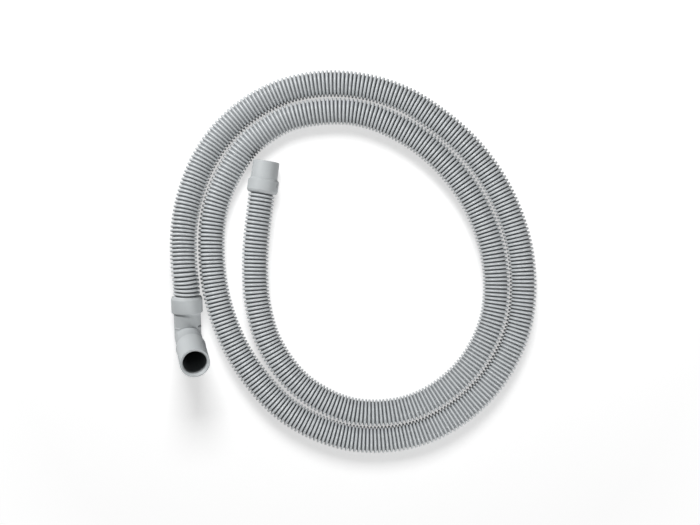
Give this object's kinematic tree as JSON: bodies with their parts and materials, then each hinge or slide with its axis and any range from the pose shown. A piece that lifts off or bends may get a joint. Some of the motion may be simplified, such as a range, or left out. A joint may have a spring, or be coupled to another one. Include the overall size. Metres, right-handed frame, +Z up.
{
  "type": "washing machine drain hose",
  "caption": "Corrugated grey plastic drain hose laid in a flat coil, with a straight cuff at one end and an elbow cuff turned up at the other.",
  "frame": {"origin": "on the floor, under the middle of the coil's bounding box", "axes": "+Z up, +Y the long way across the coil, from the elbow's end towards the straight cuff's mouth; the coil lies flat in XY"},
  "size_m": [0.3539, 0.3713, 0.083],
  "materials": {
    "hose": "blow-moulded polypropylene, semi-gloss bluish grey",
    "cuff": "moulded soft plastic, satin grey"
  },
  "bodies": {
    "root": {"drain_hose": "hose", "straight_cuff": "cuff", "elbow_cuff": "cuff"}
  },
  "joints": []
}
